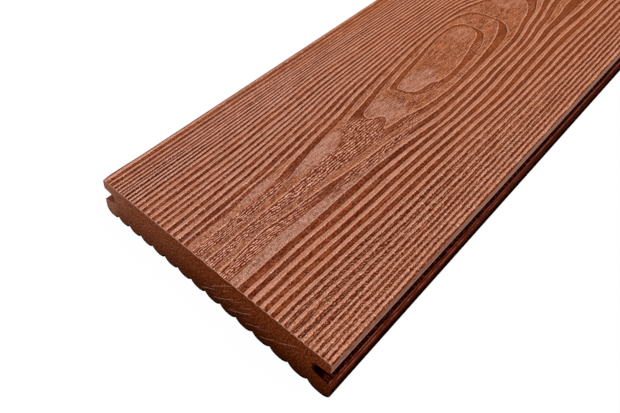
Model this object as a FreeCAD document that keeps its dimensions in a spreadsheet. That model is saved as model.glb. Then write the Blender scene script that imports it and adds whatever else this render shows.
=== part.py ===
import FreeCAD, Part
import math
import os
import Sketcher

# Solid wood-plastic composite decking board, extruded in one piece and sawn to length.
# The walking face is on top, each long edge has a slot for hidden deck clips between an upper
# and a lower lip, and the underside is a row of rounded ribs with sharp notches between them.
# Frame in millimetres: X across the board, Y along it, Z up. The origin is below the middle of
# the board, on the surface that the rib crests rest on.

# Driving sizes, in millimetres, degrees or a plain count
SIZES = {
    "board_length": 2200,
    "face_width": 140,
    "board_thickness": 25,
    "lower_lip_reach": 1,
    "arris_radius": 1.4,
    "slot_depth": 8,
    "slot_middle": 14.5,
    "slot_root_height": 5.5,
    "slot_flare": 8,
    "slot_root_radius": 1.5,
    "upper_lip_radius": 0.8,
    "lower_lip_chamfer": 1.2,
    "bottom_corner_radius": 4.5,
    "rib_count": 15,
    "rib_crest_flat": 1,
    "notch_depth": 2.4,
}

# How far a cutting profile runs out past the lower lip
OVERRUN = 2

# How near an edge has to lie to the place where it is looked for
NEAR = 0.01

# Places worked out from the driving sizes, as expressions on the sheet
HALF_FACE = "Sizes.face_width / 2"
LIP_EDGE = "(Sizes.face_width / 2 + Sizes.lower_lip_reach)"
SLOT_ROOT = "(Sizes.face_width / 2 - Sizes.slot_depth)"
SLOT_OUT = f"({LIP_EDGE} + {OVERRUN})"
SLOT_RISE = "(Sizes.slot_root_height / 2)"
MOUTH_RISE = f"({SLOT_RISE} + ({SLOT_OUT} - {SLOT_ROOT}) * tan(Sizes.slot_flare * 1 deg))"
RIB_PITCH = "(Sizes.face_width / Sizes.rib_count)"
NOTCH_PLACE = f"({RIB_PITCH} * (Sizes.rib_count / 2 - 1))"
FLANK_RUN = f"(({RIB_PITCH} - Sizes.rib_crest_flat) / 2)"
FLANK_RADIUS = f"(({FLANK_RUN} ^ 2 + Sizes.notch_depth ^ 2) / (2 * Sizes.notch_depth))"

doc = FreeCAD.newDocument("decking_board")


def make_sheet():
    """The driving sizes, one aliased cell each."""
    sheet = doc.addObject("Spreadsheet::Sheet", "Sizes")
    for row, (name, value) in enumerate(SIZES.items(), start=1):
        sheet.set(f"A{row}", name)
        sheet.set(f"B{row}", str(value))
        sheet.setAlias(f"B{row}", name)
    doc.recompute()
    return sheet


sheet = make_sheet()


def size(expression):
    """A length worked out on the sheet, as a plain number."""
    value = sheet.evalExpression(expression)
    return float(getattr(value, "Value", value))


def origin_plane(body, role):
    """One of the body's own origin planes, by its role."""
    return next(p for p in body.Origin.OriginFeatures if p.Role == role)


def section_sketch(body, name):
    """A sketch square to the board's length: its x is across the board and its y is up."""
    sketch = body.newObject("Sketcher::SketchObject", name)
    sketch.AttachmentSupport = [(origin_plane(body, "XZ_Plane"), "")]
    sketch.MapMode = "FlatFace"
    return sketch


def pin_point(sketch, name, line, end, across, up):
    """Holds one corner of the outline at a place that the sheet gives."""
    for kind, axis, expression in (("DistanceX", "x", across), ("DistanceY", "y", up)):
        label = f"{name}_{axis}"
        index = sketch.addConstraint(Sketcher.Constraint(kind, line, end, size(expression)))
        sketch.renameConstraint(index, label)
        sketch.setExpression(f".Constraints.{label}", expression)


def closed_lines(sketch, corners):
    """Straight sides joined end to end; returns the index of each side's line."""
    places = [FreeCAD.Vector(size(across), size(up), 0) for across, up in corners]
    sides = [
        sketch.addGeometry(Part.LineSegment(start, stop), False)
        for start, stop in zip(places, places[1:] + places[:1])
    ]
    for this, following in zip(sides, sides[1:] + sides[:1]):
        sketch.addConstraint(Sketcher.Constraint("Coincident", this, 2, following, 1))
    return sides


def make_blank(body):
    """The board before its slots and ribs: lower lips a little wider than the walking face."""
    sketch = section_sketch(body, "blank_section")
    middle, top = "Sizes.slot_middle", "Sizes.board_thickness"
    right = [(LIP_EDGE, "0"), (LIP_EDGE, middle), (HALF_FACE, middle), (HALF_FACE, top)]
    left = [(f"-{across}", up) for across, up in reversed(right)]
    sides = closed_lines(sketch, right + left)
    # the underside, the last side, lies level because its two corners mirror each other
    for number, side in enumerate(sides[:-1]):
        direction = "Vertical" if number % 2 == 0 else "Horizontal"
        sketch.addConstraint(Sketcher.Constraint(direction, side))
    # the left corners mirror the right ones about the sketch's upright axis
    count = len(sides)
    for number in (0, 2):
        sketch.addConstraint(
            Sketcher.Constraint("Symmetric", sides[number], 1, sides[count - 1 - number], 1, -2)
        )
    pin_point(sketch, "foot", sides[0], 1, LIP_EDGE, "0")
    pin_point(sketch, "step", sides[2], 1, HALF_FACE, middle)
    height = sketch.addConstraint(Sketcher.Constraint("DistanceY", sides[2], 2, size(top)))
    sketch.renameConstraint(height, "top_y")
    sketch.setExpression(".Constraints.top_y", top)
    pad = body.newObject("PartDesign::Pad", "blank")
    pad.Profile = sketch
    pad.SideType = "Symmetric"
    pad.setExpression("Length", "Sizes.board_length")
    return pad


def cut_along(body, name, sketch):
    """Takes a section out of the board over its whole length."""
    before = body.Tip.Shape.Volume
    pocket = body.newObject("PartDesign::Pocket", name)
    pocket.Profile = sketch
    pocket.SideType = "Symmetric"
    pocket.setExpression("Length", "Sizes.board_length * 2")
    doc.recompute()
    if not pocket.Shape.Volume < before:
        raise RuntimeError(f"{name} removed nothing")
    return pocket


def cut_clip_slots(body):
    """A slot that widens a little towards its mouth, in the right edge and mirrored to the left."""
    sketch = section_sketch(body, "clip_slot_section")
    corners = [
        (SLOT_ROOT, f"Sizes.slot_middle - {SLOT_RISE}"),
        (SLOT_OUT, f"Sizes.slot_middle - {MOUTH_RISE}"),
        (SLOT_OUT, f"Sizes.slot_middle + {MOUTH_RISE}"),
        (SLOT_ROOT, f"Sizes.slot_middle + {SLOT_RISE}"),
    ]
    sides = closed_lines(sketch, corners)
    names = ("root_low", "mouth_low", "mouth_high", "root_high")
    for name, side, (across, up) in zip(names, sides, corners):
        pin_point(sketch, name, side, 1, across, up)
    slot = cut_along(body, "clip_slot", sketch)
    both = body.newObject("PartDesign::Mirrored", "both_clip_slots")
    both.Originals = [slot]
    both.MirrorPlane = (origin_plane(body, "YZ_Plane"), [""])
    body.Tip = both
    doc.recompute()
    if not both.Shape.Volume < slot.Shape.Volume:
        raise RuntimeError("the second clip slot removed nothing")


def long_edges(shape, across, up):
    """Names of the two edges along the board at this height and at plus and minus this width."""
    found = []
    for number, edge in enumerate(shape.Edges, start=1):
        box = edge.BoundBox
        along = box.YLength > size("Sizes.board_length") / 2
        there = math.isclose(abs(box.Center.x), across, abs_tol=NEAR)
        level = math.isclose(box.Center.z, up, abs_tol=NEAR)
        if along and there and level:
            found.append(f"Edge{number}")
    if len(found) != 2:
        raise RuntimeError(f"{len(found)} long edges at {across}, {up} instead of 2")
    return found


def dress_edges(body, kind, name, across, up, size_name):
    """Rounds or chamfers one pair of long edges."""
    base = body.Tip
    edges = long_edges(base.Shape, size(across), size(up))
    dressed = body.newObject(f"PartDesign::{kind}", name)
    dressed.Base = (base, edges)
    dressed.setExpression("Radius" if kind == "Fillet" else "Size", f"Sizes.{size_name}")
    doc.recompute()


def dress_long_edges(body):
    """The arrises, the slot's inner corners, the lips' edges and the bottom corners."""
    flare = "tan(Sizes.slot_flare * 1 deg)"
    lip_under = f"Sizes.slot_middle + {SLOT_RISE} + Sizes.slot_depth * {flare}"
    lip_over = f"Sizes.slot_middle - {SLOT_RISE} - ({LIP_EDGE} - {SLOT_ROOT}) * {flare}"
    root_high = f"Sizes.slot_middle + {SLOT_RISE}"
    root_low = f"Sizes.slot_middle - {SLOT_RISE}"
    dress_edges(body, "Fillet", "arrises", HALF_FACE, "Sizes.board_thickness", "arris_radius")
    dress_edges(body, "Fillet", "slot_root_high", SLOT_ROOT, root_high, "slot_root_radius")
    dress_edges(body, "Fillet", "slot_root_low", SLOT_ROOT, root_low, "slot_root_radius")
    dress_edges(body, "Fillet", "upper_lips", HALF_FACE, lip_under, "upper_lip_radius")
    dress_edges(body, "Chamfer", "lower_lips", LIP_EDGE, lip_over, "lower_lip_chamfer")
    dress_edges(body, "Fillet", "bottom_corners", LIP_EDGE, "0", "bottom_corner_radius")


def flank_arc(side):
    """One rib's curved flank, from the edge of its crest flat up to the notch; side is -1 or 1."""
    place, run = size(NOTCH_PLACE), size(FLANK_RUN)
    depth, radius = size("Sizes.notch_depth"), size(FLANK_RADIUS)
    middle = FreeCAD.Vector(place + side * run, radius, 0)
    lean = math.atan2(radius - depth, run)
    angles = (-math.pi / 2, -lean) if side < 0 else (math.pi + lean, 3 * math.pi / 2)
    circle = Part.Circle(middle, FreeCAD.Vector(0, 0, 1), radius)
    return Part.ArcOfCircle(circle, *angles)


def cut_rib_notches(body):
    """The notch between the last two ribs, repeated across the underside."""
    sketch = section_sketch(body, "notch_section")
    low_left = FreeCAD.Vector(size(NOTCH_PLACE) - size(FLANK_RUN), 0, 0)
    low_right = FreeCAD.Vector(size(NOTCH_PLACE) + size(FLANK_RUN), 0, 0)
    left = sketch.addGeometry(flank_arc(-1), False)
    right = sketch.addGeometry(flank_arc(1), False)
    base = sketch.addGeometry(Part.LineSegment(low_left, low_right), False)
    sketch.addConstraint(Sketcher.Constraint("Coincident", left, 2, right, 1))
    sketch.addConstraint(Sketcher.Constraint("Tangent", base, 1, left, 1))
    sketch.addConstraint(Sketcher.Constraint("Tangent", base, 2, right, 2))
    sketch.addConstraint(Sketcher.Constraint("Equal", left, right))
    pin_point(sketch, "root", left, 2, NOTCH_PLACE, "Sizes.notch_depth")
    pin_point(sketch, "foot", base, 1, f"{NOTCH_PLACE} - {FLANK_RUN}", "0")
    notch = cut_along(body, "notch", sketch)
    row = body.newObject("PartDesign::LinearPattern", "notch_row")
    row.Originals = [notch]
    row.Direction = (sketch, ["H_Axis"])
    row.Reversed = True
    row.setExpression("Occurrences", "Sizes.rib_count - 1")
    row.setExpression("Length", f"{RIB_PITCH} * (Sizes.rib_count - 2)")
    body.Tip = row
    doc.recompute()
    if not row.Shape.Volume < notch.Shape.Volume:
        raise RuntimeError("the row of notches removed nothing")


def make_decking_board():
    """The whole board, as one body."""
    body = doc.addObject("PartDesign::Body", "decking_board")
    body.Label = "decking_board"
    make_blank(body)
    doc.recompute()
    cut_clip_slots(body)
    dress_long_edges(body)
    cut_rib_notches(body)
    return body


def check_and_write(bodies):
    """Stops at any failed object or unsound solid, and then writes each sub-part's file."""
    for thing in doc.Objects:
        if {"Invalid", "Error"} & set(thing.State):
            raise RuntimeError(f"{thing.Label} failed: {thing.State}")
    for body in bodies:
        if body.Shape.isNull() or not body.Shape.isValid() or len(body.Shape.Solids) != 1:
            raise RuntimeError(f"{body.Label} is not one sound solid")
    os.makedirs("parts", exist_ok=True)
    for body in bodies:
        body.Shape.exportStep(f"parts/{body.Label}.step")
        box = body.Shape.BoundBox
        print(
            f"{body.Label}: {box.XLength:.2f} x {box.YLength:.2f} x {box.ZLength:.2f} mm,",
            f"{body.Shape.Volume / 1e6:.4f} litres, {len(body.Shape.Faces)} faces",
        )


board = make_decking_board()
doc.recompute()
check_and_write([board])
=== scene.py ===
import math

import bpy
import numpy as np
from mathutils import Matrix, Vector


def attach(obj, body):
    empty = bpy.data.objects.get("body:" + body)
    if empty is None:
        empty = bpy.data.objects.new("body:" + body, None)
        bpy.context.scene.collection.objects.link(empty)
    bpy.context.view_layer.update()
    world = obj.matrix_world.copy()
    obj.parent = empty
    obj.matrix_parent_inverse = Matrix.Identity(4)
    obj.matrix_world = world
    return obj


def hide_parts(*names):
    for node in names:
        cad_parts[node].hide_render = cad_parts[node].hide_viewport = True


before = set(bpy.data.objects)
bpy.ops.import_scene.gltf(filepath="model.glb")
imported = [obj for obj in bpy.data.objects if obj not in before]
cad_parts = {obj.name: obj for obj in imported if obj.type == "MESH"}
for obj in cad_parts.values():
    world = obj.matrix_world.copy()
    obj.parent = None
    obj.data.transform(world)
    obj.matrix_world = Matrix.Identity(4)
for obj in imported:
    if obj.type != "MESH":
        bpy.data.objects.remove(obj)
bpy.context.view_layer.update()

# All lengths are in millimetres until a mesh is made. x runs across the board, y along it and z up.
MM = 0.001
LENGTH = 2200.0
HALF_FACE = 70.0
THICKNESS = 25.0
ARRIS = 1.4
LIP_REACH = 1.0
SLOT_DEPTH = 8.0
SLOT_MIDDLE = 14.5
SLOT_ROOT = 5.5
SLOT_FLARE = math.radians(8)
SLOT_ROOT_RADIUS = 1.5
UPPER_LIP_RADIUS = 0.8
LOWER_LIP_CHAMFER = 1.2
BOTTOM_RADIUS = 4.5
RIBS = 15
CREST = 1.0
NOTCH = 2.4

# The underside: how far apart the ribs are, and how wide each side of a rib is
RIB_PITCH = 2 * HALF_FACE / RIBS
FLANK = (RIB_PITCH - CREST) / 2

# The relief of the walking face: the grooves' depth and the width of their sides, how far the bands lie
# below the full thickness and how high their rims are, and how rough the face is
RELIEF = 0.6
SHOULDER = 0.34
BAND_DROP = 0.12
RIM_HEIGHT = 0.10
FACE_ROUGHNESS = 0.03

# Grooves this wide get their full depth, and narrower ones at least this share of it
FULL_DEPTH_WIDTH = 2.2
LEAST_DEPTH = 0.55

# The face always stays this far below the full thickness, and this far where it meets the arrises
FACE_BELOW = 0.005
ARRIS_BELOW = 0.04

# An extra row of points lies this far below the arrises
ARRIS_MARGIN = 0.15

# The saw wears the ends' edges that deep and that far along, the edges beside the arrises less
END_WEAR = 0.22
ARRIS_WEAR = 0.2
WEAR_REACH = 0.8

# How far the near left corner of the upper lip stands out, and its reach across the board
SWOLLEN_CORNER = 0.5
SWOLLEN_REACH = 12.0

# The mesh's steps across the face and along it, which are finer in the stretch that the photo shows
COLUMN_STEP = 0.66
NEAR_ROW_STEP = 1.6
FAR_ROW_STEP = 13.0
NEAR_STRETCH = 360.0
END_ROWS = (0.0, 0.3, 0.8, 1.7, 3.2, 4.8, 6.4, 8.0)
ARC_STEPS = 4
FLANK_STEPS = 5
SHARP_ANGLE = math.radians(33)

# The board's materials, in the order of their slots
FACE, SIDE, SAWN = range(3)

# The light: the ambient share, where the key light comes from and how wide it is
AMBIENT = 0.44
KEY_FROM = (0.45, 0.30, 0.84)
KEY_WIDTH = math.radians(30)

# The floor, in metres: its reach and how far it lies below the board. It lights the board as this grey
# and is seen as white, with this share of pure white over its shadow.
FLOOR_REACH = 6.0
FLOOR_DROP = 0.0002
FLOOR_GREY = 0.45
FLOOR_WHITE = 0.985

# The camera, fitted to the board's edges in the photo: its place is in metres, its turns in radians
SENSOR_WIDTH = 36.0
LENS = 32.707
LENS_SHIFT = (0.3386, -0.1996)
CAMERA_PLACE = (0.12781, -1.21155, 0.23822)
CAMERA_TURNS = ((1.0211, "Z"), (0.9841, "X"), (-0.1842, "Z"))


# Noise

def hashed(ix, iy, seed):
    """A repeatable value from 0 to 1 for each whole-number place."""
    n = (ix.astype(np.int64) * 374761393 + iy.astype(np.int64) * 668265263 + seed * 974711) & 0x7FFFFFFF
    n = ((n ^ (n >> 13)) * 1274126177) & 0x7FFFFFFF
    n = ((n ^ (n >> 16)) * 2246822519) & 0x7FFFFFFF
    return (n & 0xFFFFF) / float(0xFFFFF)


def noise(x, y, seed):
    """Smooth noise from -1 to 1 with a cell of one unit."""
    ix, iy = np.floor(x), np.floor(y)
    u, v = x - ix, y - iy
    u, v = u * u * (3 - 2 * u), v * v * (3 - 2 * v)
    low = hashed(ix, iy, seed) * (1 - u) + hashed(ix + 1, iy, seed) * u
    high = hashed(ix, iy + 1, seed) * (1 - u) + hashed(ix + 1, iy + 1, seed) * u
    return 2 * (low * (1 - v) + high * v) - 1


def smooth(start, end, value):
    """Eases from 0 to 1 while the value goes from start to end."""
    t = np.clip((value - start) / (end - start), 0, 1)
    return t * t * (3 - 2 * t)


def wave(x, y, amount, across, along, seed):
    """Noise of that amount, with cells of the given size in mm."""
    return amount * noise(x / across, y / along, seed)


# The grain. y is measured from the sawn end that is looked at.

# Where the middle of the tree lies: distance along, place across, depth below the face
PITH = (
    (-40, 7.8, 23.0), (0, 7.7, 23.0), (33, 6.8, 23.2), (65, 6.1, 22.5), (98, 4.5, 20.3),
    (130, 3.9, 18.1), (163, 2.9, 12.2), (196, 0.8, 7.8), (223, -0.9, 4.1), (256, -1.4, 6.4),
    (285, -1.6, 15.4), (320, 3.0, 24.7), (375, 1, 25.5), (440, -1, 23), (500, 0, 17), (550, 2, 7),
    (580, 3, 3), (630, 3, 12), (690, 2, 20), (770, 0, 25), (860, -3, 22), (920, -4, 12), (965, -4, 4),
    (1020, -2, 12), (1100, 0, 21), (1210, 3, 25), (1330, 2, 20), (1400, 1, 8), (1435, 0, 4),
    (1490, -2, 13), (1580, -3, 21), (1700, -1, 25), (1820, 2, 19), (1890, 3, 7), (1935, 3, 5),
    (2000, 1, 15), (2100, 0, 22), (2240, -1, 25),
)

# Distances from the middle of the tree at which a light band ends or the next one starts
INNER_RINGS = (14.0, 16.8, 19.3, 21.9, 24.0, 26.2, 27.9, 29.7, 30.8)
RIGHT_RINGS = INNER_RINGS + (
    32.5, 34.2, 36.2, 37.8, 40.2, 42.1, 44.6, 46.6, 48.1, 49.6, 51.4, 52.9, 54.8, 56.1, 57.6, 58.8, 60.2,
    61.2, 62.2, 63.2, 64.3, 65.4, 66.5, 67.7, 68.6, 69.9, 72.5,
)
LEFT_RINGS = INNER_RINGS + (
    33.0, 34.7, 36.2, 37.8, 39.6, 41.3, 42.7, 44.1, 45.4, 47.0, 48.7, 50.7, 52.7, 54.5, 56.3, 58.2, 59.7,
    61.3, 62.8, 64.1, 65.4, 66.5, 67.7, 69.0, 70.5, 71.7, 72.6, 73.4, 74.6, 76.0, 77.5, 78.7, 80.1, 81.9,
    84.2, 85.6, 88.3, 89.8, 94.0,
)

# The first band lies round the middle, so its inner edge is below zero
FIRST_RING = -9.0

# How far out the outermost drawn contour lies
THIRD_CONTOUR = 24.0

# The rings are closer together on the left. Far from the middle they run straight: on the left by the
# first place, on the right from the second to the third.
LEFT_SQUEEZE = 1.298
STRAIGHT_LEFT = 77.7
STRAIGHT_RIGHT = (20.6, 53.2)

# The tree's middle is eased over this many mm along the board, an odd number
EASE_REACH = 27

# Where the rings start to get choppy, and where the face starts to be chipped
CHOPPY_PART = (42, 54)
RIGHT_PART = (38, 54)

# Places where the rings swing out or in: x, y, reach across, reach along, amount
SWINGS = (
    (43, 0, 14, 62, 2.2), (40, 199, 8, 43, -2.3), (-43, 153, 10, 40, -2.2), (-43, 272, 12, 46, 3.0),
    (24.4, 37, 3.5, 44, -0.95), (28, 318, 12, 26, 0.9), (-25, 150, 10, 34, -1.8), (-7.0, 10, 2.4, 30, -0.95),
    (-8.4, 52, 2.4, 22, -1.2), (12.8, 28, 3, 20, 0.33),
)

# The closed contours in the middle of the figure, as drawn
EYE = (
    (-2.8, 169.6), (0.4, 170.8), (4.0, 171.5), (6.5, 173.3), (7.9, 176.9), (8.3, 182.8), (9.0, 188.1),
    (11.2, 192.5), (12.2, 199.4), (12.2, 206.9), (11.4, 215.7), (10.3, 223.5), (8.6, 232.5), (6.6, 241.6),
    (5.4, 249.5), (3.4, 255.9), (-0.5, 259.6), (-5.0, 260.9), (-8.7, 259.4), (-11.4, 254.6),
    (-12.3, 247.1), (-11.9, 235.9), (-10.6, 223.5), (-8.3, 208.8), (-6.7, 195.3), (-5.0, 184.0),
)
BAND_INSIDE = (
    (-5.3, 167.6), (-4.1, 168.0), (-0.1, 168.7), (4.0, 169.4), (7.4, 170.4), (9.7, 172.8), (11.5, 176.8),
    (13.3, 181.9), (14.8, 188.1), (15.4, 193.4), (15.1, 204.2), (14.3, 215.1), (13.8, 226.0),
    (12.6, 236.0), (10.6, 246.1), (7.6, 254.4), (5.6, 258.8), (1.6, 261.5), (-4.0, 263.1), (-9.0, 263.0),
    (-12.1, 259.1), (-13.2, 251.7), (-13.7, 239.6), (-12.7, 225.1), (-10.6, 209.2), (-9.4, 195.7),
    (-7.9, 181.2), (-6.3, 172.1),
)
BAND_OUTSIDE = (
    (-4.5, 143.3), (-3.8, 138.8), (-1.9, 136.1), (0.6, 135.4), (2.6, 136.9), (4.2, 140.3), (5.7, 142.8),
    (7.9, 142.3), (9.7, 138.8), (10.9, 134.7), (11.9, 132.2), (12.6, 134.5), (13.3, 139.8), (14.3, 149.4),
    (16.4, 158.8), (17.8, 169.3), (18.8, 182.0), (19.0, 194.9), (18.3, 208.9), (17.4, 222.0),
    (16.2, 237.3), (14.7, 250.5), (12.4, 261.9), (9.3, 271.3), (6.9, 277.8), (2.6, 279.8), (-4.0, 280.4),
    (-9.6, 280.3), (-12.8, 274.8), (-15.1, 265.4), (-16.3, 252.4), (-16.3, 239.1), (-15.4, 226.7),
    (-13.7, 209.8), (-12.4, 196.3), (-10.6, 180.5), (-8.4, 164.7), (-6.2, 152.3),
)
THIRD_INSIDE = (
    (3.1, -33.5), (10.3, -33.5), (10.4, 5.8), (9.6, 23.2), (9.7, 40.5), (10.8, 64.3), (12.4, 85.9),
    (14.2, 107.3), (16.0, 130.8), (18.3, 147.7), (20.5, 162.4), (21.6, 179.4), (21.6, 194.4),
    (20.7, 219.1), (19.0, 251.7), (16.1, 267.4), (12.4, 275.3), (8.1, 279.2), (2.1, 281.3), (-6.0, 282.2),
    (-11.3, 281.9), (-15.5, 275.4), (-17.3, 265.9), (-18.1, 250.6), (-17.6, 228.3), (-15.3, 201.2),
    (-11.7, 167.4), (-8.0, 142.7), (-6.4, 129.2), (-3.4, 119.0), (0.9, 109.8), (3.2, 99.7), (4.2, 84.4),
    (4.8, 64.7), (5.2, 32.0), (5.6, 5.8), (5.7, -33.5),
)

# The contours count up to this far from the middle, and fade into the rings along this stretch
DRAWN_HALF_WIDTH = 40
DRAWN_FADE = (318, 342)

# Four lists of soft oval patches of the face: x, y, reach across, reach along, strength.
# Where thin fibres show
STROKES = (
    (9.0, 15, 10.8, 74, 1.0), (8.0, 95, 5.5, 36, 1.0), (-0.6, 30, 2.9, 48, 1.0), (5.0, 124, 11, 14, 1.0),
    (20.8, 108, 3.2, 42, 1.0), (17.0, 147, 2.2, 12, 0.7), (1.5, 213, 7.0, 34, 0.5), (5, 164, 9, 8, 0.6),
    (12.4, 180, 3.0, 16, 0.5), (3, 158, 8, 9, 0.8), (1, 143, 7, 6, 0.4), (9.6, 242, 3.0, 14, 0.6),
    (-2, 291, 9.5, 9, 0.7), (-3, 269, 8, 7, 0.45), (11, 306, 4, 12, 0.5), (60, 60, 15, 190, 0.5),
)

# Where the band edges are worn soft
SOFT = (
    (-1, 115, 7, 16, 1.0), (4.0, 88, 1.8, 28, 1.0), (-3.4, 34, 1.5, 42, 0.8), (21.8, 106, 2.4, 38, 1.0),
    (-66, 230, 7, 170, 0.75), (-62, 45, 4, 30, 0.3),
)

# Where the grooves are darker
DEEP = (
    (-50, 16, 7, 46, 1.0), (-58, 14, 3, 30, 0.5), (52, 45, 9, 90, 0.9), (46, 80, 3, 60, 0.5),
    (24.5, 110, 3, 60, 0.4),
)

# Where the wide bands are paler
PALE = (
    (22, 40, 4, 90, 1.0), (-2, 92, 5.5, 26, 0.9), (3, 186, 7, 16, 0.8), (4, 150, 9, 12, 0.8),
    (-4, 248, 6, 10, 0.35), (-6.5, 50, 4, 16, 0.9), (-5, 15, 3, 30, 0.4), (0, 308, 9, 10, 0.5),
)

# How the patches fade at their edge, as shares of their reach
PATCH_FADE = (0.72, 1.18)

# Along these stretches the fibres and the paler patches of the photo give way to made-up ones
STROKES_FADE = (345, 375)
PALE_FADE = (330, 360)

# Marks of the saw blade on the sawn end: where the arc lies, from and up to which height, strength
SAW_MARKS = (
    (-73.7, 3.4, 10.5, 0.8), (-77.4, 8.4, 10.0, 0.5), (-76.4, 11.0, 22.5, 0.65), (-73.0, 14.6, 18.0, 0.55),
    (-66.3, 3.8, 13.8, 0.8), (-65.0, 12.0, 17.5, 0.5), (-56.8, 3.8, 14.5, 0.8), (-58.4, 5.0, 8.0, 0.4),
    (-47.8, 4.6, 10.5, 0.75), (-46.2, 8.0, 14.0, 0.4), (-39.4, 3.6, 9.5, 0.7), (-38.4, 10.0, 18.5, 0.55),
    (-60.8, 13.0, 18.0, 0.35), (-69.6, 6.0, 9.0, 0.35), (-52.0, 6.0, 9.0, 0.3),
)

# The blade's radius and the height of its middle
SAW_RADIUS = 130.0
SAW_MIDDLE = 109.0

# Where the left side's colours give way to the right side's, and where the lower lips' outer faces begin
MIDDLE = (-5, 5)
LIP_FACE = (69.0, 70.0)

# The painted highlights along the edge of the lower lips: from and up to which place, and how soft their
# edges are
LIP_HIGHLIGHTS = ((69.45, 69.85), (70.2, 70.6))
LIP_HIGHLIGHT_EDGE = 0.15


def drawn_place(x, y):
    """Where a place of the face lies in the plan that the grain was drawn on, which is a little narrower."""
    across = x - 0.43 + x * (0.0045 + 0.00008 * x) + 0.00034 * y
    along = y + 0.16 + y * (0.01 + 0.00008 * x - 0.0000063 * y) + 0.0013 * x
    return across, along


def eased(table, y):
    """The table's columns at y, interpolated and softened."""
    table = np.array(table, float)
    grid = np.arange(table[0, 0], table[-1, 0] + 1)
    window = np.hanning(EASE_REACH)
    window /= window.sum()
    columns = []
    for values in table[:, 1:].T:
        line = np.pad(np.interp(grid, table[:, 0], values), EASE_REACH // 2, mode="edge")
        columns.append(np.interp(y, grid, np.convolve(line, window, mode="valid")))
    return columns


def ring_distance(x, y):
    """How far each place is from the tree's middle, as the grain shows it, and whether it is left of it."""
    middle, depth = eased(PITH, y)
    left = x < middle
    bend = 1 - np.where(left, smooth(0, STRAIGHT_LEFT, -x), smooth(*STRAIGHT_RIGHT, x))
    across = np.where(left, LEFT_SQUEEZE, 1.0) * (x - middle * bend)
    distance = np.hypot(across, depth * bend)
    for sx, sy, rx, ry, amount in SWINGS:
        distance = distance + amount * np.exp(-((x - sx) / rx) ** 2 - ((y - sy) / ry) ** 2)
    choppy = smooth(*CHOPPY_PART, x) * wave(x, y, 0.18, 2.6, 5.0, seed=7)
    return distance + wave(x, y, 0.16, 9, 34, seed=3) + wave(x, y, 0.10, 4, 11, seed=5) + choppy, left


def rounded_outline(points, rounds=2):
    """The closed outline with its corners cut back twice."""
    p = np.array(points, float)
    for _ in range(rounds):
        q = np.roll(p, -1, axis=0)
        p = np.stack([0.75 * p + 0.25 * q, 0.25 * p + 0.75 * q], axis=1).reshape(-1, 2)
    return p


def inside_and_distance(points, x, y):
    """Whether each place is inside the outline, and how far it is from it."""
    p = rounded_outline(points)
    q = np.roll(p, -1, axis=0)
    inside = np.zeros(x.shape, bool)
    nearest = np.full(x.shape, 1e9)
    for (ax, ay), (bx, by) in zip(p, q):
        dx, dy = bx - ax, by - ay
        t = np.clip(((x - ax) * dx + (y - ay) * dy) / (dx * dx + dy * dy), 0, 1)
        nearest = np.minimum(nearest, (x - ax - t * dx) ** 2 + (y - ay - t * dy) ** 2)
        if dy:
            crossing = (ay > y) != (by > y)
            inside ^= crossing & (x < ax + (y - ay) / dy * dx)
    return inside, np.sqrt(nearest)


def band_place(number, from_inner, to_outer, reach=3.0):
    """Ring number and band width where a band's two edges are that far away."""
    a, b = np.clip(from_inner, 1e-3, reach), np.clip(to_outer, 1e-3, reach)
    return number + a / (a + b), a + b


def place_in_rings(distance, slope, edges):
    """Ring number and band width from a table of distances."""
    edges = np.array((FIRST_RING,) + edges)
    n = np.clip(np.searchsorted(edges, distance) - 1, 0, len(edges) - 2)
    return band_place(n + 1, (distance - edges[n]) / slope, (edges[n + 1] - distance) / slope)


def place_in_contours(x, y, to_rings):
    """Ring number and band width between the drawn contours."""
    in_third, third = inside_and_distance(THIRD_INSIDE, x, y)
    in_band, band = inside_and_distance(BAND_OUTSIDE, x, y)
    in_gap, gap = inside_and_distance(BAND_INSIDE, x, y)
    in_eye, eye = inside_and_distance(EYE, x, y)
    ring, width = band_place(5, third, to_rings)
    no_edge = np.full(x.shape, np.inf)
    for where, number, inner, outer in (
        (in_third, 4, band, third), (in_band, 3, gap, band), (in_gap, 2, eye, gap), (in_eye, 1, no_edge, eye),
    ):
        place, wide = band_place(number, inner, outer)
        ring, width = np.where(where, place, ring), np.where(where, wide, width)
    return ring, width


def grain(x, y, step=0.25, least_slope=0.3):
    """Ring number and band width in mm at each place. Light bands lie between odd numbers and the next."""
    distance, left = ring_distance(x, y)
    slope_across = ring_distance(x + step, y)[0] - distance
    slope_along = ring_distance(x, y + step)[0] - distance
    slope = np.maximum(np.hypot(slope_across, slope_along) / step, least_slope)
    sides = zip(place_in_rings(distance, slope, LEFT_RINGS), place_in_rings(distance, slope, RIGHT_RINGS))
    ring, width = (np.where(left, on_left, on_right) for on_left, on_right in sides)
    drawn = (y < DRAWN_FADE[1]) & (distance < THIRD_CONTOUR) & (np.abs(x) < DRAWN_HALF_WIDTH)
    to_rings = (THIRD_CONTOUR - distance[drawn]) / slope[drawn]
    keep = smooth(*DRAWN_FADE, y[drawn])
    for values, contours in zip((ring, width), place_in_contours(x[drawn], y[drawn], to_rings)):
        values[drawn] = contours * (1 - keep) + values[drawn] * keep
    return ring, width


def edge_distance(ring, width):
    """Distance to the nearest band edge, in mm: above zero on light bands, below zero in the grooves."""
    phase = np.mod(ring + 0.5, 2)
    return (0.5 - np.minimum(phase, 2 - phase)) * width


def patches(spots, x, y):
    """How strongly a list of soft oval patches covers each place."""
    cover = np.zeros(x.shape)
    for sx, sy, rx, ry, strength in spots:
        reach = np.hypot((x - sx) / rx, (y - sy) / ry)
        cover = np.maximum(cover, strength * (1 - smooth(*PATCH_FADE, reach)))
    return cover


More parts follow.
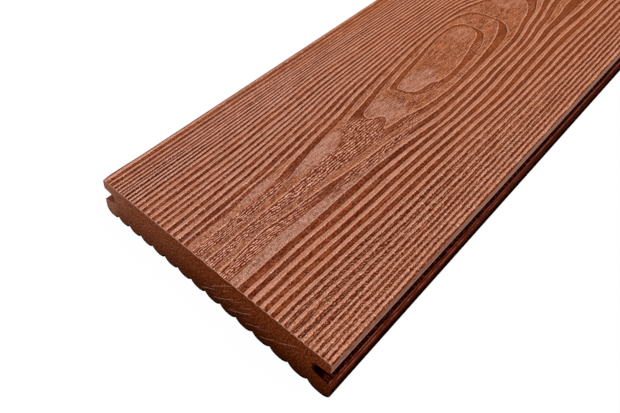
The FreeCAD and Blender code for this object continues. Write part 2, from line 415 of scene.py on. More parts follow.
def stroke_cover(x, y):
    """Where fibres show: as in the photo, and beyond it in the open figure and in tufts beside it."""
    middle, depth = eased(PITH, y)
    beside = np.abs(x - middle)
    far = smooth(*STROKES_FADE, y)
    open_figure = smooth(17, 20, depth) * (1 - smooth(4, 7, beside))
    tufts = smooth(0.1, 0.4, noise(x / 7 + 3, y / 60, seed=11)) * (1 - smooth(20, 26, beside))
    return np.maximum(patches(STROKES, x, y) * (1 - far), far * np.maximum(open_figure, 0.8 * tufts))


def pale_cover(x, y):
    """Where the wide bands are paler: as in the photo, and beyond it in made-up patches."""
    far = smooth(*PALE_FADE, y)
    return patches(PALE, x, y) * (1 - far) + far * 0.7 * smooth(0, 0.5, noise(x / 11, y / 70, seed=13))


def end_wear(y, depth):
    """How far the saw has worn the upper edge of the sawn ends down."""
    return depth * (1 - smooth(0, WEAR_REACH, np.minimum(y, LENGTH - y)))


def face_height(x, y, ring, width):
    """The height of the walking face, which always stays a little below the full thickness."""
    edge = edge_distance(ring, width)
    groove = 1 - smooth(-SHOULDER, SHOULDER, edge)
    depth = RELIEF * np.clip(width / FULL_DEPTH_WIDTH, LEAST_DEPTH, 1.0)
    rim = RIM_HEIGHT * smooth(0.0, 0.4, edge) * (1 - smooth(0.5, 1.2, edge))
    height = THICKNESS - BAND_DROP + rim - depth * groove
    height = height + wave(x, y, FACE_ROUGHNESS, 1.7, 3.2, seed=21)
    # The face eases into the rounded arrises
    arris = smooth(HALF_FACE - ARRIS - 1.0, HALF_FACE - ARRIS, np.abs(x))
    height = height * (1 - arris) + (THICKNESS - ARRIS_BELOW) * arris
    return np.minimum(height - end_wear(y, END_WEAR), THICKNESS - FACE_BELOW)


# The section, clockwise from the right end of the walking face

def corner(previous, point, following, radius, steps):
    """The arc that rounds a corner, or its chamfer where steps is 1."""
    p, a, b = (np.array(v, float) for v in (point, previous, following))
    u, v = (a - p) / np.linalg.norm(a - p), (b - p) / np.linalg.norm(b - p)
    half = math.acos(max(-1.0, min(1.0, float(u @ v)))) / 2
    if steps == 1:
        return [p + u * radius, p + v * radius]
    start, end = p + u * radius / math.tan(half), p + v * radius / math.tan(half)
    centre = p + (u + v) / np.linalg.norm(u + v) * radius / math.sin(half)
    first = math.atan2(*(start - centre)[::-1])
    turn = (math.atan2(*(end - centre)[::-1]) - first + math.pi) % (2 * math.pi) - math.pi
    angles = [first + turn * i / steps for i in range(steps + 1)]
    return [centre + radius * np.array((math.cos(angle), math.sin(angle))) for angle in angles]


def right_profile():
    """Points down the right side and along the underside to its middle, and how many belong to the arris."""
    root = HALF_FACE - SLOT_DEPTH
    lip = HALF_FACE + LIP_REACH
    slot_top, slot_bottom = SLOT_MIDDLE + SLOT_ROOT / 2, SLOT_MIDDLE - SLOT_ROOT / 2
    flare_up = math.tan(SLOT_FLARE) * SLOT_DEPTH
    flare_down = math.tan(SLOT_FLARE) * (SLOT_DEPTH + LIP_REACH)
    corners = [
        ((HALF_FACE, THICKNESS), ARRIS, ARC_STEPS),
        ((HALF_FACE, slot_top + flare_up), UPPER_LIP_RADIUS, ARC_STEPS),
        ((root, slot_top), SLOT_ROOT_RADIUS, ARC_STEPS),
        ((root, slot_bottom), SLOT_ROOT_RADIUS, ARC_STEPS),
        ((lip, slot_bottom - flare_down), LOWER_LIP_CHAMFER, 1),
        ((lip, 0.0), BOTTOM_RADIUS, 2 * ARC_STEPS),
    ]
    ends = [(0.0, THICKNESS)] + [c[0] for c in corners] + [(0.0, 0.0)]
    points = []
    for i, (point, radius, steps) in enumerate(corners):
        points += corner(ends[i], point, ends[i + 2], radius, steps)
    # A second point close under the arris keeps the lip's face flat in the shading
    arris_points = ARC_STEPS + 2
    points.insert(arris_points - 1, (HALF_FACE, THICKNESS - ARRIS - ARRIS_MARGIN))
    return points + rib_points(), arris_points


def rib_points():
    """The underside from the outermost rib to the middle: flat crests and arcs that meet in notches."""
    radius = (FLANK * FLANK + NOTCH * NOTCH) / (2 * NOTCH)
    points = []
    for i in range(RIBS // 2, 0, -1):
        crest_end, next_crest = i * RIB_PITCH - CREST / 2, (i - 1) * RIB_PITCH + CREST / 2
        if i < RIBS // 2:
            points.append((crest_end + CREST, 0.0))
        points.append((crest_end, 0.0))
        to_notch = [(crest_end, -FLANK * k / FLANK_STEPS) for k in range(1, FLANK_STEPS + 1)]
        from_notch = [(next_crest, FLANK * k / FLANK_STEPS) for k in range(FLANK_STEPS - 1, 0, -1)]
        for start, reach in to_notch + from_notch:
            points.append((start + reach, radius - math.sqrt(radius * radius - reach * reach)))
    return points + [(CREST / 2, 0.0)]


def rows_along():
    """Where the face has rows along the board, and which of them the sides and the underside have too."""
    near = np.arange(END_ROWS[-1] + NEAR_ROW_STEP, NEAR_STRETCH, NEAR_ROW_STEP)
    far_end = LENGTH - END_ROWS[-1]
    far = np.linspace(NEAR_STRETCH, far_end, int(round((far_end - NEAR_STRETCH) / FAR_ROW_STEP)))
    rows = np.concatenate([END_ROWS, near, far, LENGTH - np.array(END_ROWS[-2::-1])])
    return rows, list(range(len(END_ROWS))) + [len(rows) - 1]


def lofted(outline, rows):
    """A point for each row along the board and each point of the outline across it."""
    points = np.zeros((len(rows), len(outline), 3))
    points[:, :, 0], points[:, :, 1], points[:, :, 2] = outline[:, 0], rows[:, None], outline[:, 1]
    return points


def swell_corner(points, share):
    """Pushes the near left corner of the upper lip out a little, apart from its worn very end."""
    along = points[:, :, 1]
    edge = share * smooth(HALF_FACE - SWOLLEN_REACH, HALF_FACE, -points[:, :, 0])
    points[:, :, 0] -= SWOLLEN_CORNER * edge * smooth(0, 5, along) * (1 - smooth(8, 30, along))


def board_faces(rows, across, low_rows, around):
    """All faces and their materials: the walking face, then the sides and the underside, then the ends."""
    def top(i, j):
        return i * across + j

    def low(i, j):
        return rows * across + i * around + j

    faces, kinds = [], []
    for i in range(rows - 1):
        for j in range(across - 1):
            faces.append((top(i, j), top(i, j + 1), top(i + 1, j + 1), top(i + 1, j)))
            kinds.append(FACE if 1 <= j < across - 2 else SIDE)
    last = around - 1
    for i, (row, next_row) in enumerate(zip(low_rows, low_rows[1:])):
        for j in range(last):
            faces.append((low(i, j), low(i, j + 1), low(i + 1, j + 1), low(i + 1, j)))
        right = [top(r, across - 1) for r in range(next_row, row - 1, -1)]
        left = [top(r, 0) for r in range(row, next_row + 1)]
        faces += [right + [low(i, 0), low(i + 1, 0)], left + [low(i + 1, last), low(i, last)]]
        kinds += [SIDE] * (last + 2)
    near_end = [top(0, j) for j in reversed(range(across))] + [low(0, j) for j in reversed(range(around))]
    far_low = len(low_rows) - 1
    far_end = [top(rows - 1, j) for j in range(across)] + [low(far_low, j) for j in range(around)]
    return faces + [near_end, far_end], kinds + [SAWN, SAWN]


def store(mesh, name, values, elsewhere):
    """Stores a value at each point: the given ones on the walking face, and one value elsewhere."""
    others = np.full(len(mesh.vertices) - values.size, elsewhere)
    layer = mesh.attributes.new(name, "FLOAT", "POINT")
    layer.data.foreach_set("value", np.concatenate([values.ravel(), others]).astype(np.float32))


def board_mesh():
    """One closed mesh: fine rows along the walking face and a few along the sides and the underside."""
    half, arris_points = right_profile()
    arris, below = np.array(half[:arris_points]), np.array(half[arris_points:])
    arris_left = (arris * (-1, 1))[::-1]
    below = np.concatenate([below, (below * (-1, 1))[::-1]])
    flat = HALF_FACE - ARRIS
    columns = np.linspace(-flat, flat, int(round(2 * flat / COLUMN_STEP)) + 1)[1:-1]
    columns = np.stack([columns, np.zeros(len(columns))], axis=1)
    rows, low_rows = rows_along()

    top = lofted(np.concatenate([arris_left, columns, arris]), rows)
    low = lofted(below, rows[low_rows])
    swell_corner(top, 1.0)
    swell_corner(low, smooth(SLOT_MIDDLE + 2, THICKNESS - 2, low[:, :, 2]))
    gx, gy = drawn_place(top[:, :, 0], top[:, :, 1])
    ring, width = grain(gx, gy)
    top[:, :, 2] -= end_wear(rows, ARRIS_WEAR)[:, None]
    face = np.s_[:, arris_points:-arris_points]
    top[:, :, 2][face] = face_height(top[:, :, 0], top[:, :, 1], ring, width)[face]

    vertices = np.concatenate([top.reshape(-1, 3), low.reshape(-1, 3)]) - (0, LENGTH / 2, 0)
    faces, kinds = board_faces(*top.shape[:2], low_rows, len(below))
    mesh = bpy.data.meshes.new("decking_board_surface")
    mesh.from_pydata((vertices * MM).tolist(), [], faces)
    mesh.update()
    mesh.polygons.foreach_set("material_index", kinds)
    mesh.polygons.foreach_set("use_smooth", [kind != SAWN for kind in kinds])
    # Off the walking face every point counts as the middle of a light band, without any patches
    store(mesh, "ring", ring, 1.5)
    store(mesh, "band", width, 2.0)
    store(mesh, "strokes", stroke_cover(gx, gy), 0.0)
    store(mesh, "pale", pale_cover(gx, gy), 0.0)
    store(mesh, "soft", patches(SOFT, gx, gy), 0.0)
    store(mesh, "deep", patches(DEEP, gx, gy), 0.0)
    mesh.set_sharp_from_angle(angle=SHARP_ANGLE)
    return mesh


# Materials

def rgb(r, g, b):
    """A screen colour from 0 to 255 as the linear colour that the shaders take."""
    lin = [v / 255 / 12.92 if v < 10.3 else ((v / 255 + 0.055) / 1.055) ** 2.4 for v in (r, g, b)]
    return (*lin, 1.0)


WHITE = (1, 1, 1, 1)

# The grooves of the walking face
GROOVE_DARK = rgb(96, 32, 8)
GROOVE_GRAIN = rgb(160, 84, 52)
GROOVE_RIGHT = rgb(110, 38, 8)
GROOVE_SHADE = rgb(84, 24, 4)
GROOVE_FAR = rgb(156, 86, 48)
GROOVE_DEEP = rgb(70, 14, 3)
# Painted shade at the foot of the bands
GROOVE_FOOT_SHADE = rgb(84, 26, 5)
GROOVE_HAIR = rgb(184, 117, 87)

# The light bands, with the middles of the wide ones
BAND_DULL = rgb(169, 100, 69)
BAND_BRIGHT = rgb(210, 146, 119)
BAND_SPECK = rgb(140, 72, 44)
BAND_RIGHT = rgb(187, 116, 86)
BAND_HAIR = rgb(134, 68, 42)
# A painted highlight along the bands' rims
BAND_RIM_HIGHLIGHT = rgb(216, 154, 132)
FLAT_DARK = rgb(127, 61, 30)
FLAT_LIGHT = rgb(188, 116, 83)
PALE_DARK_NEAR = rgb(116, 60, 42)
PALE_DARK_FAR = rgb(150, 90, 66)
PALE_LIGHT = rgb(194, 137, 116)

# Fibres, chips and edges of the walking face, with a painted highlight along the sawn ends
FIBRE_GAP = rgb(104, 38, 14)
FIBRE_NEAR = rgb(248, 178, 148)
FIBRE_FAR = rgb(238, 166, 134)
DASH = rgb(112, 52, 28)
CHIP_BRIGHT = rgb(236, 170, 140)
CHIP_DARK = rgb(84, 22, 5)
SPECK = rgb(255, 218, 192)
LEFT_ARRIS = rgb(118, 48, 26)
SAWN_EDGE_HIGHLIGHT = rgb(206, 150, 130)

# What the warm parts of the walking face are multiplied by
WARM = (1.0, 0.86, 0.68, 1.0)

# The sides: the underside's skin, the upper lips, the slots and the lower lips
SKIN_DARK = rgb(104, 46, 24)
SKIN_LIGHT = rgb(138, 76, 50)
UPPER_LIP_DARK = rgb(142, 90, 72)
UPPER_LIP_LIGHT = rgb(170, 122, 104)
UPPER_LIP_FAR = rgb(168, 122, 104)
# Painted light along the upper lips' rounded lower edge
UPPER_LIP_EDGE_LIGHT = rgb(226, 176, 156)
UPPER_LIP_LEFT = rgb(112, 40, 18)
# Painted shade in the right slots, and painted light in the left ones
SLOT_SHADE_DARK = rgb(26, 3, 2)
SLOT_SHADE_SPOT = rgb(78, 24, 18)
LEFT_SLOT_LIT_DARK = rgb(120, 48, 24)
LEFT_SLOT_LIT_SPOT = rgb(188, 104, 76)
# Painted shade on the lower lips' faces
LOWER_LIP_SHADE_DARK = rgb(42, 6, 4)
LOWER_LIP_SHADE_LIGHT = rgb(86, 32, 22)
# The lower lips' chamfers, with painted highlights along them
LOWER_LIP_EDGE = rgb(74, 24, 10)
LOWER_LIP_HIGHLIGHT = rgb(152, 84, 62)
LOWER_LIP_FAR = rgb(58, 18, 10)
LOWER_LIP_FAR_HIGHLIGHT = rgb(136, 74, 55)
# Painted shade under the lower lips' faces, near black on the right
LOWER_LIP_UNDER_SHADE = rgb(26, 4, 2)
LOWER_LIP_UNDER_LEFT = rgb(70, 26, 14)

# The sawn ends
SAWN_LEFT = rgb(172, 90, 58)
SAWN_RIGHT = rgb(142, 58, 20)
SAWN_LIT = rgb(204, 134, 104)
# Painted light on the end by the left lip
SAWN_LEFT_LIP_LIGHT = rgb(214, 144, 120)
SAWN_PORE = rgb(60, 12, 2)
SAWN_GRAIN_LEFT = rgb(222, 150, 112)
SAWN_GRAIN_RIGHT = rgb(204, 118, 76)
SAWN_PATCH = rgb(92, 32, 8)
SAWN_LOWER = rgb(56, 14, 2)
SAW_MARK = rgb(240, 182, 158)
# Painted shade along the ribs' edges, and a painted highlight along the upper edge
SAWN_RIB_SHADE = rgb(34, 6, 2)
SAWN_UPPER_EDGE_HIGHLIGHT = rgb(222, 168, 148)


class Nodes:
    """Short ways to add and link the nodes of one material. x, y, z and place are in mm."""

    def __init__(self, name):
        self.material = bpy.data.materials.new(name)
        self.material.use_nodes = True
        self.tree = self.material.node_tree
        self.shader = self.tree.nodes["Principled BSDF"]
        self.place = self.scaled(self.add("ShaderNodeTexCoord").outputs["Object"], (1 / MM, 1 / MM, 1 / MM))
        self.x, self.y, self.z = self.add("ShaderNodeSeparateXYZ", {0: self.place}).outputs

    def put(self, socket, value):
        if isinstance(value, bpy.types.NodeSocket):
            self.tree.links.new(value, socket)
        elif value is not None:
            socket.default_value = value

    def add(self, kind, inputs=(), **settings):
        node = self.tree.nodes.new(kind)
        for key, value in settings.items():
            setattr(node, key, value)
        for key, value in dict(inputs).items():
            self.put(node.inputs[key], value)
        return node

    def scaled(self, vector, scale):
        return self.add("ShaderNodeVectorMath", {0: vector, 1: scale}, operation="MULTIPLY").outputs[0]

    def attribute(self, name):
        return self.add("ShaderNodeAttribute", attribute_name=name).outputs["Fac"]

    def math(self, operation, a, b=None):
        return self.add("ShaderNodeMath", {0: a, 1: b}, operation=operation).outputs[0]

    def chain(self, operation, first, *others):
        for value in others:
            first = self.math(operation, first, value)
        return first

    def plus(self, *values):
        return self.chain("ADD", *values)

    def times(self, *values):
        return self.chain("MULTIPLY", *values)

    def most(self, *values):
        return self.chain("MAXIMUM", *values)

    def minus(self, a, b):
        return self.math("SUBTRACT", a, b)

    def step(self, value, start, end, low=0.0, high=1.0):
        """Eases from low to high while the value goes from start to end."""
        inputs = {"Value": value, "From Min": start, "From Max": end, "To Min": low, "To Max": high}
        return self.add("ShaderNodeMapRange", inputs, interpolation_type="SMOOTHSTEP").outputs["Result"]

    def across(self, start, end, low=0.0, high=1.0):
        """Eases between two places across the board."""
        return self.step(self.x, start, end, low, high)

    def along(self, start, end, low=0.0, high=1.0):
        """Eases between two distances from the sawn end that is looked at."""
        return self.step(self.y, start - LENGTH / 2, end - LENGTH / 2, low, high)

    def up(self, start, end, low=0.0, high=1.0):
        """Eases between two heights."""
        return self.step(self.z, start, end, low, high)

    def noise(self, scale, detail=2.0, roughness=0.5, place=None):
        """Noise with that many cells in a mm across, along and up."""
        vector = self.scaled(self.place if place is None else place, scale)
        inputs = {"Vector": vector, "Scale": 1.0, "Detail": detail, "Roughness": roughness}
        return self.add("ShaderNodeTexNoise", inputs).outputs["Fac"]

    def mix_number(self, factor, a, b):
        return self.add("ShaderNodeMix", {0: factor, 2: a, 3: b}, data_type="FLOAT").outputs[0]

    def mix(self, factor, a, b, blend="MIX"):
        inputs = {0: factor, 6: a, 7: b}
        return self.add("ShaderNodeMix", inputs, data_type="RGBA", blend_type=blend).outputs[2]

    def coats(self, colour, *coats):
        """The colour under coats of others, each as strong as its cover."""
        for cover, coat in coats:
            colour = self.mix(cover, colour, coat)
        return colour

    def bump(self, height, strength, distance):
        inputs = {"Height": height, "Strength": strength, "Distance": distance}
        return self.add("ShaderNodeBump", inputs).outputs["Normal"]

    def finish(self, colour, roughness, normal):
        """Sets up a shader without a mirror-like shine and returns the material."""
        for name, value in (
            ("Base Color", colour), ("Roughness", roughness), ("Normal", normal), ("Specular IOR Level", 0.0),
        ):
            self.put(self.shader.inputs[name], value)
        return self.material


class FaceNodes(Nodes):
    """The nodes of the walking face, with what all its colours follow."""

    def __init__(self, name):
        super().__init__(name)
        self.band = self.attribute("band")
        self.soft = self.attribute("soft")
        self.slow = self.noise((0.30, 0.016, 1.0))
        self.grit = self.noise((1.1, 0.68, 1.0), detail=4, roughness=0.8)
        self.fine = self.noise((1.9, 1.3, 1.0), detail=3, roughness=0.8)
        self.hair = self.noise((1.7, 0.03, 1.0))
        self.edge = self.edge_distance()
        sharp_ridge, soft_ridge = self.step(self.edge, -0.10, 0.12), self.step(self.edge, -1.0, 0.9)
        self.ridge = self.mix_number(self.soft, sharp_ridge, soft_ridge)

    def edge_distance(self):
        """Distance to the nearest band edge in mm, made ragged. It is above zero on the light bands."""
        fold = self.math("PINGPONG", self.plus(self.attribute("ring"), 0.5), 1.0)
        edge = self.times(self.minus(0.5, fold), self.band)
        ragged = self.minus(self.noise((1.7, 0.7, 1.0), detail=3, roughness=0.6), 0.5)
        ragged = self.times(ragged, self.across(*RIGHT_PART, 0.55, 0.95), self.along(100, 220, 1.0, 0.55))
        return self.plus(edge, ragged, self.times(self.minus(self.slow, 0.5), 0.7))

    def rim(self):
        """The painted highlights on the rims of the bands that aren't worn soft."""
        outer, inner = self.step(self.edge, 0.0, 0.14), self.step(self.edge, 0.66, 0.42)
        return self.times(outer, inner, self.minus(1.0, self.soft))

    def inner(self):
        """The middles of the wide bands, and of narrower ones right of the figure."""
        narrower = self.times(self.step(self.band, 1.5, 2.1), self.across(8, 10), self.across(16, 14))
        wide = self.most(self.step(self.band, 2.3, 3.0), narrower)
        return self.times(self.step(self.edge, 0.42, 0.66), wide)


def groove_colour(n):
    """Dark and granular, with painted shade at the foot of the bands, and a few light hairs."""
    foot_shade = n.times(n.step(n.edge, -0.65, -0.25), n.step(n.edge, 0.04, -0.1))
    return n.coats(
        n.mix(n.step(n.grit, 0.42, 0.57), GROOVE_DARK, GROOVE_GRAIN),
        (n.across(38, 52, 0.0, 0.45), GROOVE_RIGHT),
        (n.step(n.slow, 0.44, 0.60, 0.0, 0.6), GROOVE_SHADE),
        (n.along(90, 240, 0.0, 0.4), GROOVE_FAR),
        (n.times(n.attribute("deep"), 0.75), GROOVE_DEEP),
        (n.times(foot_shade, 0.6), GROOVE_FOOT_SHADE),
        (n.step(n.hair, 0.60, 0.68, 0.0, 0.4), GROOVE_HAIR),
    )


def flat_colour(n):
    """The middles of the wide bands: grainy near the end, streaky further along, paler in patches."""
    grainy = n.noise((0.8, 0.6, 1.0), detail=5, roughness=0.9)
    streaky = n.noise((1.1, 0.09, 1.0), detail=4, roughness=0.75)
    coarse = n.mix_number(n.along(50, 140, 0.25, 0.7), grainy, streaky)
    flat = n.mix(n.step(coarse, 0.42, 0.57), FLAT_DARK, FLAT_LIGHT)
    pale_dark = n.mix(n.along(50, 130), PALE_DARK_NEAR, PALE_DARK_FAR)
    pale = n.mix(n.step(coarse, 0.40, 0.56), pale_dark, PALE_LIGHT)
    return n.mix(n.attribute("pale"), flat, pale)


def band_colour(n, inner):
    """Light and streaked, with darker specks and hairs and painted highlights on the rims."""
    streak = n.noise((2.0, 0.09, 1.0), detail=3, roughness=0.65)
    return n.coats(
        n.mix(n.step(streak, 0.38, 0.60), BAND_DULL, BAND_BRIGHT),
        (n.step(n.fine, 0.50, 0.38, 0.0, 0.75), BAND_SPECK),
        (n.across(25, 50, 0.0, 0.5), BAND_RIGHT),
        (n.step(n.hair, 0.42, 0.34, 0.0, 0.55), BAND_HAIR),
        (inner, flat_colour(n)),
        (n.times(n.rim(), n.step(n.fine, 0.38, 0.56, 0.15, 0.95)), BAND_RIM_HIGHLIGHT),
    )


def with_fibres(n, colour, inner):
    """The colour with broken fibres in the grooves and dashes on the flat bands, and the fibres' relief."""
    sway = n.times(n.minus(n.noise((0.3, 0.12, 1.0)), 0.5), 1.6)
    swayed_x = n.plus(n.x, sway)
    swayed = n.add("ShaderNodeCombineXYZ", {0: swayed_x, 1: n.y, 2: n.z}).outputs[0]
    jitter = n.noise((0.9, 0.42, 1.0), roughness=0.7)
    thread = n.math("SINE", n.plus(n.times(swayed_x, n.along(15, 70, 6.4, 4.5)), n.times(jitter, 9.0)))
    torn = n.noise((1.6, 0.75, 0.1), detail=3, roughness=0.7, place=swayed)
    fibre = n.times(n.step(thread, -0.2, 0.7), n.step(torn, 0.40, 0.52))
    woven = n.mix(fibre, FIBRE_GAP, n.mix(n.along(60, 110), FIBRE_NEAR, FIBRE_FAR))
    cover = n.attribute("strokes")
    clear = n.most(n.step(n.edge, -0.25, -0.6), n.times(n.soft, n.step(n.edge, 1.7, 0.7)))
    dash = n.noise((1.5, 0.14, 1.0), place=swayed)
    dashes = n.times(n.step(dash, 0.52, 0.42), cover, inner, 0.9)
    colour = n.coats(colour, (n.times(cover, clear), woven), (dashes, DASH))
    return colour, n.times(fibre, cover, clear)


def with_chips(n, colour):
    """The colour with chips on the right part, specks on the bands, a darker line by the left arris and a
    painted highlight along the sawn ends.
    """
    right = n.across(*RIGHT_PART)
    chips = n.noise((1.8, 0.8, 1.0), roughness=0.7)
    specks = n.noise((2.0, 1.5, 1.0), detail=1)
    from_end = n.minus(LENGTH / 2, n.math("ABSOLUTE", n.y))
    return n.coats(
        colour,
        (n.times(n.step(chips, 0.54, 0.64), right, n.mix_number(n.ridge, 0.12, 0.5)), CHIP_BRIGHT),
        (n.times(n.step(chips, 0.48, 0.38), right, n.mix_number(n.ridge, 0.5, 0.45)), CHIP_DARK),
        (n.across(-68.9, -69.5, 0.0, 0.85), LEFT_ARRIS),
        (n.times(n.step(specks, 0.64, 0.70), n.step(n.edge, -0.4, 0.1, 0.2, 1.0)), SPECK),
        (n.step(from_end, 0.45, 0.15, 0.0, 0.6), SAWN_EDGE_HIGHLIGHT),
    )


def warmed(n, colour):
    """Less pink to the right and further along, mostly in the grooves."""
    to_right = n.times(n.across(10, 50), n.mix_number(n.ridge, 1.0, 0.15))
    further = n.times(n.along(100, 260, 0.0, 0.75), n.mix_number(n.ridge, 1.0, 0.65))
    return n.mix(n.most(to_right, further), colour, WARM, blend="MULTIPLY")


def face_material():
    """Embossed grain: light flat bands with painted highlights on their rims, and dark granular grooves
    between them with painted shade at the bands' foot.
    """
    n = FaceNodes("composite_face")
    inner = n.inner()
    colour = n.mix(n.ridge, groove_colour(n), band_colour(n, inner))
    colour, fibres = with_fibres(n, colour, inner)
    colour = warmed(n, with_chips(n, colour))
    height = n.plus(n.ridge, n.times(n.grit, 0.35), n.times(fibres, 0.4))
    return n.finish(colour, 0.8, n.bump(height, 0.4, 0.0004))


def skin_colour(n, out, lines, mottle):
    """The outer skin: brown below, with painted shade on the lower lips' faces, and lighter on the upper lips
    with painted light along their lower edge.
    """
    lower_lip_shade = n.mix(n.step(mottle, 0.44, 0.66), LOWER_LIP_SHADE_DARK, LOWER_LIP_SHADE_LIGHT)
    upper_lip = n.mix(n.step(mottle, 0.38, 0.66), UPPER_LIP_DARK, UPPER_LIP_LIGHT)
    upper_lip = n.mix(n.along(40, 140), upper_lip, UPPER_LIP_FAR)
    return n.coats(
        n.mix(n.step(lines, 0.35, 0.68), SKIN_DARK, SKIN_LIGHT),
        (n.times(n.up(10.0, 9.2), n.step(out, *LIP_FACE)), lower_lip_shade),
        (n.up(17.4, 17.9), upper_lip),
        # Painted light along the upper lip's lower edge
        (n.times(n.up(17.6, 18.1), n.up(20.0, 18.9)), UPPER_LIP_EDGE_LIGHT),
    )


def with_slots(n, colour, out):
    """The colour with the slots: painted shade, almost black, on the right and painted light on the left."""
    root = HALF_FACE - SLOT_DEPTH
    inside = n.times(n.up(18.0, 17.5), n.step(out, root - 1, root + 1), n.up(9.8, 10.4))
    spots = n.noise((0.9, 0.7, 0.9), detail=3, roughness=0.7)
    right = n.mix(n.times(n.step(spots, 0.50, 0.62), n.step(out, 65, 68)), SLOT_SHADE_DARK, SLOT_SHADE_SPOT)
    left = n.mix(n.step(spots, 0.40, 0.60), LEFT_SLOT_LIT_DARK, LEFT_SLOT_LIT_SPOT)
    return n.mix(inside, colour, n.mix(n.across(*MIDDLE), left, right))


def with_lip_highlights(n, colour, out):
    """The colour with two thin painted highlights along the edge of the lower lips, which join further along.
    """
    on_lip = n.times(n.up(12.0, 11.4), n.up(9.2, 9.5))
    chipped = n.noise((0.9, 0.14, 0.9), detail=4, roughness=0.8)
    broken = n.step(chipped, 0.42, 0.58, 0.1, 1.0)
    colour = n.mix(n.times(on_lip, n.step(out, 69.45, 69.6)), colour, LOWER_LIP_EDGE)
    for first, last in LIP_HIGHLIGHTS:
        line = n.times(n.step(out, first, first + LIP_HIGHLIGHT_EDGE), n.step(out, last, last - LIP_HIGHLIGHT_EDGE))
        colour = n.mix(n.times(on_lip, line, broken), colour, LOWER_LIP_HIGHLIGHT)
    joined = n.times(on_lip, n.along(90, 200), n.step(out, 69.4, 69.55))
    joined_highlight = n.times(joined, n.step(out, 70.1, 69.9), n.mix_number(broken, 0.35, 1.0))
    return n.coats(colour, (joined, LOWER_LIP_FAR), (joined_highlight, LOWER_LIP_FAR_HIGHLIGHT))


def side_material():
    """The extruded skin. The slots and the lower lips are darker than the upper lips, by painted shade that
    is lighter in the left slots.
    """
    n = Nodes("composite_side")
    out = n.math("ABSOLUTE", n.x)
    lines = n.noise((1.2, 0.02, 1.2), detail=4, roughness=0.6)
    mottle = n.noise((0.5, 0.35, 0.5), detail=4, roughness=0.65)
    colour = with_slots(n, skin_colour(n, out, lines, mottle), out)
    under_shade = n.mix(n.across(*MIDDLE), LOWER_LIP_UNDER_LEFT, LOWER_LIP_UNDER_SHADE)
    colour = n.coats(
        with_lip_highlights(n, colour, out),
        # Painted shade under the lower lips, lighter on the left
        (n.times(n.up(8.4, 7.6), n.step(out, *LIP_FACE)), under_shade),
        (n.times(n.across(-69.1, -69.5), n.up(22.5, 23.5), 0.8), UPPER_LIP_LEFT),
    )
    height = n.plus(lines, n.times(mottle, 0.4))
    return n.finish(colour, 0.6, n.bump(height, 0.3, 0.0003))


def sawn_colour(n, mottle):
    """Lighter to the left, with painted light on the left part and by the left lip, dark pores and light
    grains, and darker lower down.
    """
    patch = n.noise((0.25, 0.25, 0.25), detail=3)
    lower = n.times(n.up(19, 2), n.across(-58, 30, 0.28, 0.71), n.across(-64, -58, 0.3, 1.0))
    return n.coats(
        n.mix(n.across(-50, 25), SAWN_LEFT, SAWN_RIGHT),
        (n.times(n.across(-44, -60, 0.0, 0.7), n.up(5, 18, 0.3, 1.0)), SAWN_LIT),
        (n.across(-58, -66), SAWN_LEFT_LIP_LIGHT),
        (n.step(mottle, 0.50, 0.41, 0.0, 0.9), SAWN_PORE),
        (n.step(mottle, 0.52, 0.60, 0.0, 0.85), n.mix(n.across(-40, 10), SAWN_GRAIN_LEFT, SAWN_GRAIN_RIGHT)),
        (n.step(patch, 0.4, 0.7, 0.0, 0.2), SAWN_PATCH),
        (lower, SAWN_LOWER),
    )


def saw_marks(n):
    """Thin broken arcs of one radius, as the blade leaves them."""
    rise = n.minus(SAW_MIDDLE, n.z)
    reach = n.math("SQRT", n.minus(SAW_RADIUS ** 2, n.times(rise, rise)))
    wander = n.noise((0.22, 0.2, 0.22), detail=3, roughness=0.6)
    feed = n.plus(n.minus(n.x, reach), n.times(n.minus(wander, 0.5), 2.4))
    marks = 0.0
    for across, low, high, strength in SAW_MARKS:
        line = n.step(n.math("ABSOLUTE", n.minus(feed, across)), 0.34, 0.06, 0.0, strength)
        marks = n.most(marks, n.times(line, n.up(low - 0.6, low + 0.6), n.up(high + 0.8, high - 0.8)))
    thin = n.noise((1.1, 1.1, 1.1))
    return n.times(marks, n.step(thin, 0.34, 0.52))


def above_ribs(n):
    """How high a place of the sawn end lies above the outline of the ribs."""
    beside_crest = n.most(n.minus(n.math("PINGPONG", n.x, RIB_PITCH / 2), CREST / 2), 0.0)
    return n.minus(n.z, n.times(beside_crest, beside_crest, NOTCH / FLANK / FLANK))


def sawn_material():
    """The sawn ends: dark and mottled, with the saw's curved marks, painted shade along the rib edges and a
    painted highlight along the upper edge.
    """
    n = Nodes("composite_sawn")
    mottle = n.noise((1.0, 1.0, 1.0), detail=4, roughness=0.9)
    marks = saw_marks(n)
    colour = n.coats(
        sawn_colour(n, mottle),
        (marks, SAW_MARK),
        (n.step(above_ribs(n), 1.6, 0.5, 0.0, 0.95), SAWN_RIB_SHADE),
        (n.up(24.0, 24.7, 0.0, 0.8), SAWN_UPPER_EDGE_HIGHLIGHT),
    )
    height = n.plus(n.times(mottle, 0.5), marks)
    return n.finish(colour, 0.65, n.bump(height, 0.3, 0.0003))


# The stage

def white_for_viewer(tree, lit_shader, seen_shader):
    """Shows seen_shader to the camera and in mirrors, and lights the scene with lit_shader."""
    rays = tree.nodes.new("ShaderNodeLightPath")
    seen = rays.outputs["Is Camera Ray"]
    for name in ("Is Glossy Ray", "Is Transmission Ray"):
        most = tree.nodes.new("ShaderNodeMath")
        most.operation = "MAXIMUM"
        tree.links.new(seen, most.inputs[0])
        tree.links.new(rays.outputs[name], most.inputs[1])
        seen = most.outputs[0]
    mix = tree.nodes.new("ShaderNodeMixShader")
    tree.links.new(seen, mix.inputs[0])
    tree.links.new(lit_shader, mix.inputs[1])
    tree.links.new(seen_shader, mix.inputs[2])
    return mix.outputs[0]


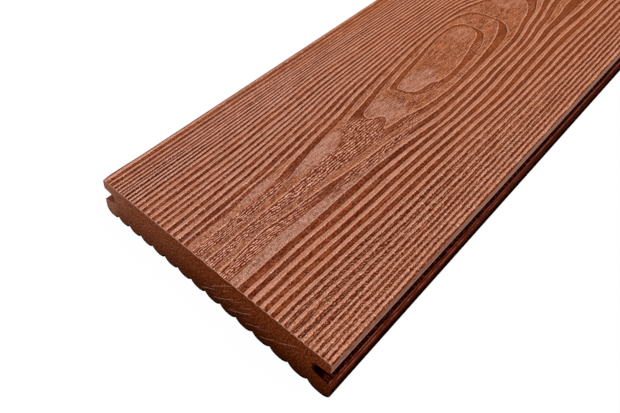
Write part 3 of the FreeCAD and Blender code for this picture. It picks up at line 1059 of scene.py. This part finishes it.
def floor():
    """A grey floor that the viewer sees as white, with a light shadow."""
    mesh = bpy.data.meshes.new("floor")
    signs = ((-1, -1), (1, -1), (1, 1), (-1, 1))
    mesh.from_pydata([(x * FLOOR_REACH, y * FLOOR_REACH, -FLOOR_DROP) for x, y in signs], [], [(0, 1, 2, 3)])
    plane = bpy.data.objects.new("floor", mesh)
    bpy.context.collection.objects.link(plane)
    material = bpy.data.materials.new("floor_white")
    material.use_nodes = True
    tree = material.node_tree
    tree.nodes.clear()
    grey = tree.nodes.new("ShaderNodeBsdfDiffuse")
    grey.inputs["Color"].default_value = (FLOOR_GREY, FLOOR_GREY, FLOOR_GREY, 1)
    shadowed = tree.nodes.new("ShaderNodeBsdfDiffuse")
    shadowed.inputs["Color"].default_value = WHITE
    white = tree.nodes.new("ShaderNodeEmission")
    white.inputs["Strength"].default_value = 1.0
    faint = tree.nodes.new("ShaderNodeMixShader")
    faint.inputs[0].default_value = FLOOR_WHITE
    tree.links.new(shadowed.outputs[0], faint.inputs[1])
    tree.links.new(white.outputs[0], faint.inputs[2])
    output = tree.nodes.new("ShaderNodeOutputMaterial")
    tree.links.new(white_for_viewer(tree, grey.outputs[0], faint.outputs[0]), output.inputs["Surface"])
    mesh.materials.append(material)


def background(tree, strength):
    """A white background of that strength."""
    node = tree.nodes.new("ShaderNodeBackground")
    node.inputs["Color"].default_value = WHITE
    node.inputs["Strength"].default_value = strength
    return node.outputs[0]


def light():
    """Even light from all round and a wide key light, which together light the walking face with one."""
    world = bpy.data.worlds.new("studio")
    bpy.context.scene.world = world
    world.use_nodes = True
    tree = world.node_tree
    tree.nodes.clear()
    output = tree.nodes.new("ShaderNodeOutputWorld")
    surface = white_for_viewer(tree, background(tree, AMBIENT), background(tree, 1.0))
    tree.links.new(surface, output.inputs["Surface"])
    towards = Vector(KEY_FROM).normalized()
    data = bpy.data.lights.new("key", "SUN")
    data.energy = (1.0 - AMBIENT) * math.pi / towards.z
    data.angle = KEY_WIDTH
    key = bpy.data.objects.new("key", data)
    key.rotation_euler = towards.to_track_quat("Z", "Y").to_euler()
    bpy.context.collection.objects.link(key)


def camera():
    """The photo is cropped from a larger one, so the lens is shifted."""
    data = bpy.data.cameras.new("camera")
    data.sensor_width = SENSOR_WIDTH
    data.lens = LENS
    data.shift_x, data.shift_y = LENS_SHIFT
    data.clip_start = 0.01
    view = bpy.data.objects.new("camera", data)
    turn = Matrix.Identity(4)
    for angle, axis in CAMERA_TURNS:
        turn = turn @ Matrix.Rotation(angle, 4, axis)
    view.matrix_world = Matrix.Translation(CAMERA_PLACE) @ turn
    bpy.context.collection.objects.link(view)
    bpy.context.scene.camera = view


board = bpy.data.objects.new("decking_board_surface", board_mesh())
bpy.context.collection.objects.link(board)
for material in (face_material(), side_material(), sawn_material()):
    board.data.materials.append(material)
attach(board, "root")
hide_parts("decking_board")

floor()
light()
camera()
bpy.context.scene.view_settings.view_transform = "Standard"
